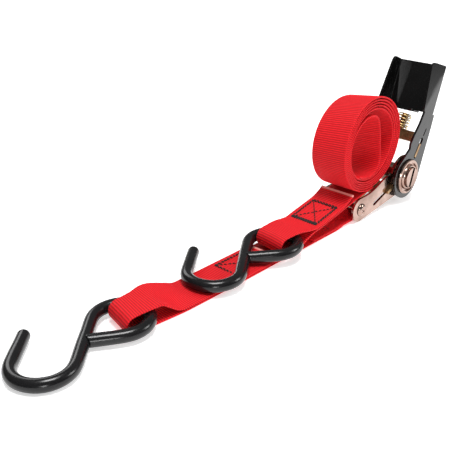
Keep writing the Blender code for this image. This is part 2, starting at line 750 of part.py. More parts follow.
def main():
    clear_scene()
    for collection in (parts, cutters):
        bpy.context.scene.collection.children.link(collection)
    web = make_material("red_webbing", (0.62, 0.02, 0.03), 0.75)
    thread = make_material("black_thread", (0.02, 0.02, 0.02), 0.8)
    vinyl = make_material("black_vinyl", (0.015, 0.015, 0.015), 0.35)
    wire = make_material("bright_steel", (0.6, 0.6, 0.58), 0.35, 1.0)
    zinc = make_material("yellow_zinc", (0.72, 0.55, 0.42), 0.3, 1.0)
    brass = make_material("spring_steel", (0.6, 0.47, 0.2), 0.35, 1.0)
    paint = make_material("black_paint", (0.02, 0.02, 0.022), 0.2)

    double_top = 2 * web_thick
    loop_room = 1.2
    front_top = web_thick + gap + 2 * coat_radius + loop_room + web_thick / 2
    make_fixed_strap(web, front_top)
    rear_top = double_top + gap + front_top
    run_z = make_long_strap(web, double_top, rear_top)
    make_hook("front", 0.0, 0.0, (0.0, 0.0), vinyl, wire)
    make_hook("rear", double_top + gap, rear_hook_turn, rear_hook_shift, vinyl, wire)

    def rear_offset(x):
        return rear_loop_offset * (1.0 - ease((x - rear_fold_x) / (rear_straight_x - rear_fold_x)))

    make_stitching("front_hook_stitching", *front_sewn_x, lambda x: double_top, thread, lambda x: 0.0)
    make_stitching("anchor_stitching", *anchor_sewn_x, lambda x: double_top, thread, lambda x: 0.0)
    make_stitching("rear_hook_stitching", *rear_sewn_x, lambda x: run_z(x) + 1.5 * web_thick, thread, rear_offset)

    make_frame_plate("frame_plate_near", -plate_out, -plate_in, zinc)
    make_frame_plate("frame_plate_far", plate_in, plate_out, zinc)
    make_anchor_rivet(zinc)
    make_crossbar(zinc)
    make_pawls(zinc)
    make_spring("drive_pawl_spring", drive_pawl_angle, drive_spring, brass)
    make_spring("lock_pawl_spring", lock_pawl_angle, lock_spring, brass)
    make_spindle(zinc)
    make_handle(paint)
    centre_on_origin()


main()
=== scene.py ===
import math
import random

import bmesh
import bpy
import numpy as np
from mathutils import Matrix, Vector

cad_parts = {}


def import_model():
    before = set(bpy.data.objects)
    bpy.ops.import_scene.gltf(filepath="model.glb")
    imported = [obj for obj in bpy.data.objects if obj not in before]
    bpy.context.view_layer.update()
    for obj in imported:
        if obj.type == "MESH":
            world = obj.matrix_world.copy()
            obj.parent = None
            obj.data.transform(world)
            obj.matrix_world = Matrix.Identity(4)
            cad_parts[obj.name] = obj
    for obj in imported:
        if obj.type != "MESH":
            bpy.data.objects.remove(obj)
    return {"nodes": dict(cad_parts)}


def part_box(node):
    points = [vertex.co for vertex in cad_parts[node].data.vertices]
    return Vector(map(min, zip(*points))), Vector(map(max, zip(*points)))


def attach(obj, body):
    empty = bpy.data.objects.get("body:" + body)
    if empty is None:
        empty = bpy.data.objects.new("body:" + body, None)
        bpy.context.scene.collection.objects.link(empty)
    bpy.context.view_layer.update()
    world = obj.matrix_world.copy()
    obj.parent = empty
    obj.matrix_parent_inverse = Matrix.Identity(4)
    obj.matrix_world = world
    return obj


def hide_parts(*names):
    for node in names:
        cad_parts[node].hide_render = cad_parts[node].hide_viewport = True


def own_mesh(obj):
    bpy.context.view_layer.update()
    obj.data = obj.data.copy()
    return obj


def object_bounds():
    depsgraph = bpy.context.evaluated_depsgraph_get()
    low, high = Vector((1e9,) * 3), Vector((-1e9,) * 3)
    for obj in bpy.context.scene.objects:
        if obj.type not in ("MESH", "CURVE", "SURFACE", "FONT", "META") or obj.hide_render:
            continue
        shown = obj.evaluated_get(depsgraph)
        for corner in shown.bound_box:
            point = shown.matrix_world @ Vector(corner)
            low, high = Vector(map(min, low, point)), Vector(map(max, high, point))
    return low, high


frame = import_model()
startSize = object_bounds()
mm = 0.001

# The scene is laid out in millimetres from a datum under the front hook, with the spindle at a known point.
spindlePoint = (301.0, 0.0, 18.8)
nearDisc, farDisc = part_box("cap_disc_near"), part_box("cap_disc_far")
shift = Vector((
    (nearDisc[0][0] + nearDisc[1][0]) / 2 - spindlePoint[0] * mm,
    (nearDisc[0][1] + farDisc[1][1]) / 2,
    (nearDisc[0][2] + nearDisc[1][2]) / 2 - spindlePoint[2] * mm,
))


def world(x, y, z):
    return Vector((x * mm, y * mm, z * mm)) + shift


def ease(value):
    value = np.clip(value, 0.0, 1.0)
    return value * value * (3.0 - 2.0 * value)


def arcPoints(centre, radius, start, end, steps):
    turns = np.radians(np.linspace(start, end, steps + 1))
    return [(centre[0] + radius * math.cos(t), centre[1] + radius * math.sin(t)) for t in turns]


def resample(points, step):
    points = np.array(points, float)
    lengths = np.r_[0.0, np.cumsum(np.linalg.norm(np.diff(points, axis=0), axis=1))]
    count = max(2, int(round(lengths[-1] / step)) + 1)
    places = np.linspace(0.0, lengths[-1], count)
    columns = [np.interp(places, lengths, points[:, i]) for i in range(points.shape[1])]
    return np.stack(columns, 1), places


def smoothed(values, width, rounds=2):
    kernel = np.ones(width) / width
    for _ in range(rounds):
        first, last = np.repeat(values[:1], width // 2, 0), np.repeat(values[-1:], width // 2, 0)
        padded = np.r_[first, values, last]
        columns = [np.convolve(padded[:, i], kernel, "valid") for i in range(values.shape[1])]
        values = np.stack(columns, 1)
    return values


def newMesh(name, points, faces, uvs=None, smooth=True, sharpAngle=None):
    mesh = bpy.data.meshes.new(name)
    mesh.from_pydata([tuple(p) for p in points], [], faces)
    mesh.update()
    if uvs is not None:
        layer = mesh.uv_layers.new(name="UVMap")
        index = np.empty(len(mesh.loops), np.int32)
        mesh.loops.foreach_get("vertex_index", index)
        layer.data.foreach_set("uv", np.asarray(uvs, np.float32)[index].ravel())
    item = bpy.data.objects.new(name, mesh)
    bpy.context.scene.collection.objects.link(item)
    if smooth:
        mesh.shade_smooth()
        if sharpAngle is not None:
            mesh.set_sharp_from_angle(angle=math.radians(sharpAngle))
    return item


def gridFaces(rows, columns, closed, flip=False):
    faces = []
    last = columns if closed else columns - 1
    for i in range(rows - 1):
        for j in range(last):
            k = (j + 1) % columns
            face = (i * columns + j, i * columns + k, (i + 1) * columns + k, (i + 1) * columns + j)
            faces.append(face[::-1] if flip else face)
    return faces


def giveMaterial(item, material):
    item.data.materials.clear()
    item.data.materials.append(material)


def softenEdges(item, bevel):
    change = item.modifiers.new("softEdges", "BEVEL")
    change.width = bevel * mm
    change.segments = 2
    change.limit_method = "ANGLE"
    change.angle_limit = math.radians(40)
    change.harden_normals = True


# Node groups and materials

wearing = {
    "cloudDetail": 3.0,
    "grainDetail": 5.0,
    "grainRatio": 14.0,  # how much finer the grain is than the clouds
    "bumpDepth": 0.0002,
    "colourRange": (0.35, 0.65),
    "roughRange": (0.3, 0.7),
}


def addNode(tree, kind, **values):
    node = tree.nodes.new(kind)
    for key, value in values.items():
        setattr(node, key, value)
    return node


def makeGroup(name, inputs, outputs):
    group = bpy.data.node_groups.new(name, "ShaderNodeTree")
    for socketName, kind, value in inputs:
        socket = group.interface.new_socket(name=socketName, in_out="INPUT", socket_type=kind)
        if value is not None:
            socket.default_value = value
    for socketName, kind in outputs:
        group.interface.new_socket(name=socketName, in_out="OUTPUT", socket_type=kind)
    return group, group.nodes.new("NodeGroupInput"), group.nodes.new("NodeGroupOutput")


def makeWearGroup():
    group, start, end = makeGroup(
        "surfaceWear",
        [("Scale", "NodeSocketFloat", 60.0), ("Bump", "NodeSocketFloat", 0.1)],
        [("Cloud", "NodeSocketFloat"), ("Grain", "NodeSocketFloat"), ("Normal", "NodeSocketVector")],
    )
    place = addNode(group, "ShaderNodeTexCoord")
    cloud = addNode(group, "ShaderNodeTexNoise")
    cloud.inputs["Detail"].default_value = wearing["cloudDetail"]
    grain = addNode(group, "ShaderNodeTexNoise")
    grain.inputs["Detail"].default_value = wearing["grainDetail"]
    finer = addNode(group, "ShaderNodeMath", operation="MULTIPLY")
    finer.inputs[1].default_value = wearing["grainRatio"]
    bump = addNode(group, "ShaderNodeBump")
    bump.inputs["Distance"].default_value = wearing["bumpDepth"]
    link = group.links.new
    link(place.outputs["Object"], cloud.inputs["Vector"])
    link(place.outputs["Object"], grain.inputs["Vector"])
    link(start.outputs["Scale"], cloud.inputs["Scale"])
    link(start.outputs["Scale"], finer.inputs[0])
    link(finer.outputs[0], grain.inputs["Scale"])
    link(start.outputs["Bump"], bump.inputs["Strength"])
    link(grain.outputs["Fac"], bump.inputs["Height"])
    link(cloud.outputs["Fac"], end.inputs["Cloud"])
    link(grain.outputs["Fac"], end.inputs["Grain"])
    link(bump.outputs["Normal"], end.inputs["Normal"])
    return group


wearGroup = makeWearGroup()


def makeMaterial(name, colours, roughness, metallic=0.0, coat=0.0, scale=60.0, bump=0.1, specular=0.5):
    material = bpy.data.materials.new(name)
    material.use_nodes = True
    tree = material.node_tree
    shader = tree.nodes["Principled BSDF"]
    shader.inputs["Metallic"].default_value = metallic
    shader.inputs["Coat Weight"].default_value = coat
    shader.inputs["Specular IOR Level"].default_value = specular
    wear = addNode(tree, "ShaderNodeGroup", node_tree=wearGroup)
    wear.inputs["Scale"].default_value = scale
    wear.inputs["Bump"].default_value = bump
    ramp = addNode(tree, "ShaderNodeValToRGB")
    for element, position, colour in zip(ramp.color_ramp.elements, wearing["colourRange"], colours):
        element.position = position
        element.color = (*colour, 1.0)
    rough = addNode(tree, "ShaderNodeMapRange")
    rough.inputs["From Min"].default_value = wearing["roughRange"][0]
    rough.inputs["From Max"].default_value = wearing["roughRange"][1]
    rough.inputs["To Min"].default_value = roughness[0]
    rough.inputs["To Max"].default_value = roughness[1]
    link = tree.links.new
    link(wear.outputs["Cloud"], ramp.inputs["Fac"])
    link(wear.outputs["Grain"], rough.inputs["Value"])
    link(ramp.outputs["Color"], shader.inputs["Base Color"])
    link(rough.outputs["Result"], shader.inputs["Roughness"])
    link(wear.outputs["Normal"], shader.inputs["Normal"])
    return material


webbing = {
    "ribPitch": 1.45,
    "ribHeight": 0.28,
    "colour": (0.80, 0.008, 0.016),
    # painted shade: the rib valleys are painted this darker red, as the shade between the ribs
    "ribValleyShade": (0.40, 0.003, 0.006),
    # painted highlight: the heat-sealed cut end at the start of each strap is painted pale pink, as the light
    # catching it
    "endHighlight": (0.90, 0.36, 0.32),
    "endHighlightLength": 2.2,
    "thickness": 1.2,
    "width": 25.4,
    "layerGap": 0.1,  # between two layers that are sewn together
    "edgeRound": 1.6,  # the ribs fade out over this distance at each edge
    "yarnPitch": 0.75,
    "bumpDepth": 0.00012,
    # share of the half width, and share of the full thickness there
    "halfSection": ((1.0, 0.0), (0.985, 0.62), (0.95, 0.92), (0.88, 1.0), (0.72, 1.0), (0.5, 1.0),
                    (0.25, 1.0)),
}


def makeWebMaterial():
    material = bpy.data.materials.new("redWebbing")
    material.use_nodes = True
    tree = material.node_tree
    shader = tree.nodes["Principled BSDF"]
    shader.inputs["Roughness"].default_value = 0.7
    shader.inputs["Specular IOR Level"].default_value = 0.22
    shader.inputs["Sheen Weight"].default_value = 0.06
    shader.inputs["Sheen Roughness"].default_value = 0.4
    shader.inputs["Sheen Tint"].default_value = (1.0, 0.55, 0.55, 1.0)
    place = addNode(tree, "ShaderNodeUVMap", uv_map="UVMap")
    parted = addNode(tree, "ShaderNodeSeparateXYZ")
    along = addNode(tree, "ShaderNodeMath", operation="MULTIPLY")
    along.inputs[1].default_value = 2.0 * math.pi / (webbing["ribPitch"] * mm)
    wave = addNode(tree, "ShaderNodeMath", operation="COSINE")
    across = addNode(tree, "ShaderNodeMath", operation="MULTIPLY")
    across.inputs[1].default_value = 2.0 * math.pi / (webbing["yarnPitch"] * mm)
    yarn = addNode(tree, "ShaderNodeMath", operation="SINE")
    depth = addNode(tree, "ShaderNodeMapRange")
    depth.inputs["From Min"].default_value = -1.0
    depth.inputs["To Min"].default_value = 0.0
    depth.inputs["To Max"].default_value = 1.0
    noise = addNode(tree, "ShaderNodeTexNoise")
    noise.inputs["Scale"].default_value = 900.0
    # Painted shade: the rib valleys are painted darker, following the same wave as the rib geometry.
    mixed = addNode(tree, "ShaderNodeMix", data_type="RGBA")
    mixed.inputs["A"].default_value = (*webbing["ribValleyShade"], 1.0)
    mixed.inputs["B"].default_value = (*webbing["colour"], 1.0)
    height = addNode(tree, "ShaderNodeMath", operation="MULTIPLY_ADD")
    height.inputs[1].default_value = 0.35
    bump = addNode(tree, "ShaderNodeBump")
    bump.inputs["Strength"].default_value = 0.5
    bump.inputs["Distance"].default_value = webbing["bumpDepth"]
    link = tree.links.new
    link(place.outputs["UV"], parted.inputs["Vector"])
    link(parted.outputs["X"], along.inputs[0])
    link(parted.outputs["Y"], across.inputs[0])
    link(along.outputs[0], wave.inputs[0])
    link(across.outputs[0], yarn.inputs[0])
    link(wave.outputs[0], depth.inputs["Value"])
    link(place.outputs["UV"], noise.inputs["Vector"])
    link(depth.outputs["Result"], mixed.inputs["Factor"])
    link(yarn.outputs[0], height.inputs[0])
    link(noise.outputs["Fac"], height.inputs[2])
    link(height.outputs[0], bump.inputs["Height"])
    # Painted highlight: the first millimetres of each strap, its heat-sealed cut end, are painted pale pink.
    endHighlightShare = addNode(tree, "ShaderNodeMapRange")
    endHighlightShare.inputs["From Min"].default_value = webbing["endHighlightLength"] * 0.7 * mm
    endHighlightShare.inputs["From Max"].default_value = webbing["endHighlightLength"] * mm
    endHighlightShare.inputs["To Min"].default_value = 1.0
    endHighlightShare.inputs["To Max"].default_value = 0.0
    ends = addNode(tree, "ShaderNodeMix", data_type="RGBA")
    ends.inputs["B"].default_value = (*webbing["endHighlight"], 1.0)
    link(parted.outputs["X"], endHighlightShare.inputs["Value"])
    link(endHighlightShare.outputs["Result"], ends.inputs["Factor"])
    link(mixed.outputs["Result"], ends.inputs["A"])
    link(ends.outputs["Result"], shader.inputs["Base Color"])
    link(bump.outputs["Normal"], shader.inputs["Normal"])
    return material


webMaterial = makeWebMaterial()
zincMaterial = makeMaterial(
    "yellowZinc", ((0.28, 0.18, 0.145), (0.46, 0.33, 0.28)), (0.12, 0.24), metallic=1.0, scale=90.0, bump=0.12
)
paintMaterial = makeMaterial(
    "blackPaint", ((0.002, 0.002, 0.002), (0.004, 0.004, 0.004)), (0.1, 0.16), scale=50.0, bump=0.015
)
vinylMaterial = makeMaterial(
    "blackVinyl", ((0.004, 0.004, 0.0045), (0.007, 0.007, 0.0075)), (0.18, 0.26), scale=70.0, bump=0.04,
    specular=0.34
)
wireMaterial = makeMaterial(
    "bareWire", ((0.45, 0.44, 0.42), (0.62, 0.61, 0.58)), (0.3, 0.5), metallic=1.0, scale=200.0, bump=0.2
)
springMaterial = makeMaterial(
    "platedWire", ((0.50, 0.34, 0.12), (0.72, 0.56, 0.28)), (0.2, 0.35), metallic=1.0, scale=150.0, bump=0.1
)
# Painted shade: the pawls' gold zinc is darkened for the shadowed slots they sit in.
pawlMaterial = makeMaterial(
    "shadedPawlZinc", ((0.24, 0.135, 0.06), (0.40, 0.26, 0.13)), (0.22, 0.4), metallic=1.0, scale=90.0, bump=0.15
)
threadMaterial = makeMaterial(
    "blackThread", ((0.008, 0.008, 0.008), (0.02, 0.02, 0.02)), (0.6, 0.8), scale=900.0, bump=0.4,
    specular=0.3
)
print("materials made")

# Webbing


def makeRibbon(name, line, lay, material, body):
    thickness, width, pitch = webbing["thickness"], webbing["width"], webbing["ribPitch"]
    centre, places = resample(line, pitch / 4.0)
    centre = smoothed(centre, 5)
    section = webbing["halfSection"]
    across = np.array([-share for share, _ in section] + [0.0] + [share for share, _ in section[::-1]])
    reach = across * width / 2
    thin = np.array([thin for _, thin in section] + [1.0] + [thin for _, thin in section[::-1]])
    flat = np.empty((len(centre), len(across), 3))
    for j, v in enumerate(reach):
        flat[:, j] = lay(centre[:, 0], centre[:, 1], np.full(len(centre), v), places)
    alongStep = np.gradient(flat, axis=0)
    acrossStep = np.gradient(flat, axis=1)
    normal = np.cross(alongStep, acrossStep)
    normal /= np.linalg.norm(normal, axis=2, keepdims=True)
    ribs = 0.5 + 0.5 * np.cos(2 * np.pi * places / pitch)
    inside = ease((width / 2 - np.abs(reach)) / webbing["edgeRound"])
    half = thickness / 2 * thin[None, :] - webbing["ribHeight"] * (1.0 - ribs[:, None]) * inside[None, :]
    top = flat + normal * half[..., None]
    under = flat - normal * half[..., None]
    ring = np.concatenate([top, under[:, 1:-1][:, ::-1]], axis=1)
    rows, columns = ring.shape[:2]
    points = ring.reshape(-1, 3) * mm + np.array(shift)
    uvAcross = np.r_[reach, reach[1:-1][::-1]]
    uvs = np.stack([np.repeat(places, columns), np.tile(uvAcross, rows)], 1) * mm
    faces = gridFaces(rows, columns, True)
    faces.append(tuple(range(columns))[::-1])
    base = (rows - 1) * columns
    faces.append(tuple(base + j for j in range(columns)))
    item = newMesh(name, points, faces, uvs, sharpAngle=60.0)
    giveMaterial(item, material)
    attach(item, body)
    return item, places[-1]


# The strap's loop in a hook's eye: the layer below, the bend, and the layer above that closes down on it.
def hookLoop(fold, low, high, closed, joined, joinedZ, steps=60):
    radius = (high - low) / 2
    middle = fold + radius + webbing["thickness"] / 2
    flatX = middle + 0.3 * (closed - middle)
    slack = webbing["thickness"] + webbing["layerGap"]
    share = np.linspace(0.0, 1.0, steps + 1)
    x = joined + (middle - joined) * share
    lower = low + (joinedZ - low) * ease((x - flatX) / (joined - flatX))
    room = (high - low - slack) * (1.0 - ease((x - flatX) / (closed - flatX)))
    below = list(zip(x, lower))
    above = list(zip(x, lower + room + slack))
    bend = arcPoints((middle, (low + high) / 2), radius, 270, 90, 16)
    return below, bend, above


fixedStrap = {
    "fold": 60.0,
    "loopHeight": 10.3,
    "closed": 112.0,
    "flapEnd": 174.0,
    "offset": 0.9,
    "skew": 0.2,
    "bunch": 0.2,
    "dipStart": 81.0,
    "anchor": (253.0, 8.0),
    "wrapRadius": 3.5,
    "wrapStart": 228.0,
    "sewnStart": 138.0,
    "innerEnd": 205.0,
    "crown": 0.2,
    "dip": 0.95,
    "dipLength": 15.0,
    "raised": 1.6,
    "raisedFrom": 76.0,
    "raisedLength": 37.0,
}


# The webbing is skewed and bunched near the fold, and set aside along the whole loop.
def laySkewed(fold, offset, skew, bunch, straight, crown):
    bunchedLength, fadeLength = 6.0, 34.0

    def lay(x, z, v, s):
        nearFold = 1.0 - ease((x - fold - bunchedLength) / fadeLength)
        aside = 1.0 - ease((x - fold) / (straight - fold))
        share = v / (webbing["width"] / 2)
        lift = crown * nearFold * (1.0 - share ** 2)
        return np.stack([
            x + skew * nearFold * v,
            v * (1.0 - bunch * nearFold) + offset * aside,
            z + lift,
        ], -1)
    return lay


def makeFixedStrap():
    d = fixedStrap
    half = webbing["thickness"] / 2
    upper = 3 * half + webbing["layerGap"]
    sewn, wrap, start = d["sewnStart"], d["anchor"], d["wrapStart"]
    below, bend, above = hookLoop(d["fold"], half, d["loopHeight"], d["closed"], sewn, half)
    line = [(d["flapEnd"], 3 * half + 0.25), (d["flapEnd"] - 3.0, upper), (sewn, upper)]
    line += above[1:] + bend[::-1][1:] + below[::-1][1:]
    share = np.linspace(0.0, 1.0, 24)
    x = start + (wrap[0] - start) * share
    rise = half + (wrap[1] - d["wrapRadius"] - half) * ease(share)
    fall = 3 * half + (wrap[1] + d["wrapRadius"] - 3 * half) * ease(share)
    line += list(zip(x, rise)) + arcPoints(wrap, d["wrapRadius"], -90, 90, 16)[1:]
    line += list(zip(x, fall))[::-1][1:] + [(d["innerEnd"], upper)]
    base = laySkewed(d["fold"], d["offset"], d["skew"], d["bunch"], sewn, d["crown"])

    def lay(x, z, v, s):
        points = base(x, z, v, s)
        # The near edge sinks on to the layer below, and the far edge stands up.
        above = np.clip(z - 3 * half - webbing["layerGap"], 0.0, None)
        dipping = ease((x - d["dipStart"]) / d["dipLength"])
        points[..., 2] -= d["dip"] * above * dipping * ease((3.0 - v) / 13.0)
        share = np.clip((x - d["raisedFrom"]) / d["raisedLength"], 0.0, 1.0)
        raised = np.sin(math.pi * share) * np.clip(above, 0.0, 1.0)
        points[..., 2] += d["raised"] * raised * ease((v - 1.0) / 11.0)
        return points

    item, length = makeRibbon("fixedStrapWeb", line, lay, webMaterial, "straps_and_frame")
    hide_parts("fixed_strap")
    print("fixed strap", round(length, 1), "mm long")
    return lay


longStrap = {
    "fold": 172.5,
    "loopBase": 3.3,
    "loopHeight": 13.6,
    "joined": 206.5,
    "sewnEnd": 232.5,
    "flapEnd": 246.0,
    "slope": 8.0,
    "offset": -3.0,
    "skew": 0.12,
    "bunch": 0.15,
    "rollMiddle": (264.7, 51.0),
    "rollRadius": 33.5,
    "turns": 6,
    "innerEnd": -0.12,
    "innerFlap": 8.5,
    "turnGap": 0.12,
    "looseness": 9.2,
    "sag": 0.078,
    "lean": 0.03,
    "straight": 262.0,
    "crown": 0.4,
    "flapLift": 3.4,
    "leaveAngle": -82.0,  # where the outer turn leaves the roll
    "loosestAngle": 15.0,
}


def rollLine():
    d = longStrap
    half = webbing["thickness"] / 2
    outer = d["rollRadius"] - half
    turn = np.linspace(d["innerEnd"], d["turns"], d["turns"] * 90 + 1)
    angle = np.radians(d["leaveAngle"] + 360.0 * turn)
    tight = outer - (webbing["thickness"] + d["turnGap"]) * (d["turns"] - turn)
    early = 1.0 - ease((turn - 0.55) / 0.7)  # the innermost turn is looser still
    late = 1.0 - turn / d["turns"]
    room = d["looseness"] * (0.5 * early * (0.12 + 0.88 * ease(turn / 0.2)) + 0.5 * late)
    radius = tight - room * (1.0 + np.cos(angle - math.radians(d["loosestAngle"]))) / 2
    middle = d["rollMiddle"]
    share = np.clip(turn / 0.5, 0.0, 1.0)
    inward = d["innerFlap"] * np.sin(math.pi * share) ** 1.3
    return list(zip(middle[0] + radius * np.cos(angle) - inward, middle[1] + radius * np.sin(angle)))


def makeLongStrap():
    d = longStrap
    thick = webbing["thickness"]
    roll = rollLine()
    leave = roll[-1]
    slope = math.tan(math.radians(d["slope"]))
    joinedZ = leave[1] - (leave[0] - d["joined"]) * slope

    def runZ(x):
        return joinedZ + (x - d["joined"]) * slope

    joined = d["joined"]
    below, bend, above = hookLoop(d["fold"], d["loopBase"], d["loopHeight"], joined, joined, joinedZ)
    line = []
    for x in np.linspace(d["flapEnd"], d["sewnEnd"], 16):
        lift = (x - d["sewnEnd"]) / (d["flapEnd"] - d["sewnEnd"])
        line.append((x, runZ(x) + thick + webbing["layerGap"] + d["flapLift"] * lift ** 2))
    for x in np.linspace(d["sewnEnd"], joined, 12)[1:-1]:
        line.append((x, runZ(x) + thick + webbing["layerGap"]))
    line += above + bend[::-1][1:-1] + below[::-1]
    line += [(x, runZ(x)) for x in np.linspace(joined, leave[0], 30)[1:-1]]
    line += roll[::-1]
    base = laySkewed(d["fold"], d["offset"], d["skew"], d["bunch"], d["straight"], d["crown"])
    foot = d["rollMiddle"][1] - d["rollRadius"] + 4.0

    def lay(x, z, v, s):
        points = base(x, z, v, s)
        sag = d["sag"] + d["lean"] * v / (webbing["width"] / 2)
        above = np.clip(z - foot, 0.0, None) * (s > 100.0)
        points[..., 2] -= above * sag
        return points

    item, length = makeRibbon("longStrapWeb", line, lay, webMaterial, "straps_and_frame")
    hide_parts("long_strap")
    print("long strap", round(length, 1), "mm long")
    return base, runZ


layFixed = makeFixedStrap()
layLong, runHeight = makeLongStrap()

# Stitching

sewing = {
    "stitch": 2.2,
    "gap": 0.3,
    "radius": 0.38,
    "wander": 0.07,
    "rowStep": 0.75,
    "rearBox": (207.3, 232.0, 9.5),  # from, to and reach to each side
    "frontBox": (139.5, 167.5, 9.4),
    "anchorBox": (207.5, 226.0, 9.4),
}


def stitchRow(start, end):
    length = math.dist(start, end)
    pitch = sewing["stitch"] + sewing["gap"]
    count = max(1, int(round(length / pitch)))
    rows = []
    for i in range(count):
        a, b = (i + 0.1) / count, (i + 0.9) / count
        rows.append((
            (start[0] + (end[0] - start[0]) * a, start[1] + (end[1] - start[1]) * a),
            (start[0] + (end[0] - start[0]) * b, start[1] + (end[1] - start[1]) * b),
        ))
    return rows


def zigzagRow(start, end, width, count):
    along = Vector((end[0] - start[0], end[1] - start[1]))
    side = Vector((-along.y, along.x)).normalized() * width / 2
    rows = []
    last = Vector(start) - side
    for i in range(1, count + 1):
        sign = 1 if i % 2 else -1
        here = Vector(start) + along * (i / count) + side * sign
        rows.append((tuple(last), tuple(here)))
        last = here
    return rows


def makeStitching(name, rows, surface, node, body):
    points, faces = [], []
    sides, spans = 6, 6
    radius, wander = sewing["radius"], sewing["wander"]
    wobble = random.Random(name)
    for start, end in rows:
        direction = Vector((end[0] - start[0], end[1] - start[1], 0.0))
        side = Vector((-direction.y, direction.x, 0.0)).normalized()
        base = len(points)
        aside = side * wobble.uniform(-wander, wander)
        for i in range(spans + 1):
            share = i / spans
            x = start[0] + (end[0] - start[0]) * share + aside.x
            y = start[1] + (end[1] - start[1]) * share + aside.y
            height = math.sin(math.pi * share)
            middle = surface(x, y) + Vector((0.0, 0.0, radius * (0.85 * height ** 0.6 - 0.55)))
            size = radius * (0.45 + 0.55 * height ** 0.5)
            for k in range(sides):
                turn = 2 * math.pi * k / sides
                upward = Vector((0, 0, math.sin(turn) * size))
                points.append(middle + side * math.cos(turn) * size + upward)
        for i in range(spans):
            for k in range(sides):
                n = (k + 1) % sides
                low, high = base + i * sides, base + (i + 1) * sides
                faces.append((low + k, high + k, high + n, low + n))
        faces.append(tuple(base + k for k in range(sides)))
        faces.append(tuple(base + spans * sides + k for k in range(sides))[::-1])
    points = [world(*p) for p in points]
    item = newMesh(name, points, faces)
    giveMaterial(item, threadMaterial)
    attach(item, body)
    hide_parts(node)


def surfaceOf(lay, height):
    def surface(x, y):
        place = lay(np.array([x]), np.array([height(x)]), np.array([y]), np.array([0.0]))[0]
        return Vector(place)
    return surface


def boxRows(low, high, reach, doubled):
    rows = []
    for i in range(doubled):
        step = sewing["rowStep"] * i
        rows += stitchRow((high - step, -reach + step), (high - step, reach - step))
    for sign in (-1, 1):
        rows += stitchRow((low, sign * reach), (high, sign * reach))
        rows += stitchRow((low + 0.8, sign * (reach - 0.7)), (high - 0.8, sign * (reach - 0.7)))
    rows += stitchRow((low, -reach), (high, reach))
    rows += stitchRow((low, reach), (high, -reach))
    return rows


def makeAllStitching():
    thick = webbing["thickness"]
    gap = webbing["layerGap"]
    rear = surfaceOf(layLong, lambda x: runHeight(x) + thick * 1.5 + gap)
    low, high, reach = sewing["rearBox"]
    rows = boxRows(low, high, reach, 3)
    rows += zigzagRow((208.0, -reach), (208.0, reach), 2.6, 22)
    rows += zigzagRow((209.0, reach), (209.0, -reach), 2.4, 20)
    makeStitching("rearHookThread", rows, rear, "rear_hook_stitching", "straps_and_frame")
    front = surfaceOf(layFixed, lambda x: 2 * thick + gap)
    low, high, reach = sewing["frontBox"]
    rows = boxRows(low, high, reach, 2)
    rows += stitchRow((low, -reach), (low, reach)) + stitchRow((140.4, -9.0), (140.4, 9.0))
    makeStitching("frontHookThread", rows, front, "front_hook_stitching", "straps_and_frame")
    low, high, reach = sewing["anchorBox"]
    rows = boxRows(low, high, reach, 2) + stitchRow((low, -reach), (low, reach))
    makeStitching("anchorThread", rows, front, "anchor_stitching", "straps_and_frame")


makeAllStitching()
print("stitching made")

# S hooks

hook = {
    "wire": 3.5,
    "core": 2.7,
    "bend": 15.2,
    "eye": 15.0,
    "shank": 37.7,
    "tip": 24.0,
    "angle": 41.4,
    "eyePoint": (63.0, 0.9),
    "meeting": 0.49,  # where the leg meets the shank, as a share of the shank
    "endGap": 0.2,
    "rise": 1.5,
    "sides": 28,
    "unevenness": 0.03,
    "endSteps": ((0.2, 0.0), (0.4, 0.0), (0.6, 0.0), (0.8, 0.0), (0.94, 0.0), (0.985, 0.05), (1.0, 0.25)),
}


def hookLine():
    d = hook
    angle, eye = d["angle"], d["eyePoint"]
    unit = (math.cos(math.radians(angle)), math.sin(math.radians(angle)))
    shankEnd = arcPoints(eye, d["eye"], angle + 90, angle + 90, 1)[0]
    shankStart = (shankEnd[0] - d["shank"] * unit[0], shankEnd[1] - d["shank"] * unit[1])
    bend = arcPoints(shankStart, d["bend"], angle + 90, angle + 90, 1)[0]
    tipStart = arcPoints(bend, d["bend"], angle + 90, angle + 90, 1)[0]
    tipEnd = (tipStart[0] + d["tip"] * unit[0], tipStart[1] + d["tip"] * unit[1])
    onShank = d["meeting"] * d["shank"]
    meeting = (shankStart[0] + onShank * unit[0], shankStart[1] + onShank * unit[1])
    reach = math.dist(meeting, eye)
    towards = math.degrees(math.atan2(eye[1] - meeting[1], eye[0] - meeting[0]))
    leg = towards - math.degrees(math.asin(d["eye"] / reach))
    lean = abs(math.cos(math.radians(angle - leg)))
    clear = (d["wire"] * (1 + lean) + 0.3) / math.sin(math.radians(angle - leg))
    legTurn = math.radians(leg)
    cut = (meeting[0] + clear * math.cos(legTurn), meeting[1] + clear * math.sin(legTurn))
    line = [tipEnd] + arcPoints(bend, d["bend"], angle + 90, angle + 270, 40)
    line += arcPoints(eye, d["eye"], angle + 90, leg - 90, 50) + [cut]
    return line, bend, eye, meeting, leg


def tubeRings(centres, radii, sides):
    centres = np.array(centres)
    tangent = np.gradient(centres, axis=0)
    tangent /= np.linalg.norm(tangent, axis=1, keepdims=True)
    side = np.cross(tangent, np.array([0.0, 0.0, 1.0]))
    side /= np.linalg.norm(side, axis=1, keepdims=True)
    lift = np.cross(side, tangent)
    turns = 2 * np.pi * np.arange(sides) / sides
    return (
        centres[:, None]
        + side[:, None] * (np.cos(turns)[None, :, None] * radii[..., None])
        + lift[:, None] * (np.sin(turns)[None, :, None] * radii[..., None])
    )


def ringMesh(name, rings, sharpAngle):
    rows, sides = rings.shape[:2]
    faces = gridFaces(rows, sides, True, flip=True)
    faces.append(tuple(range(sides)))
    faces.append(tuple((rows - 1) * sides + j for j in range(sides))[::-1])
    return newMesh(name, rings.reshape(-1, 3), faces, sharpAngle=sharpAngle)


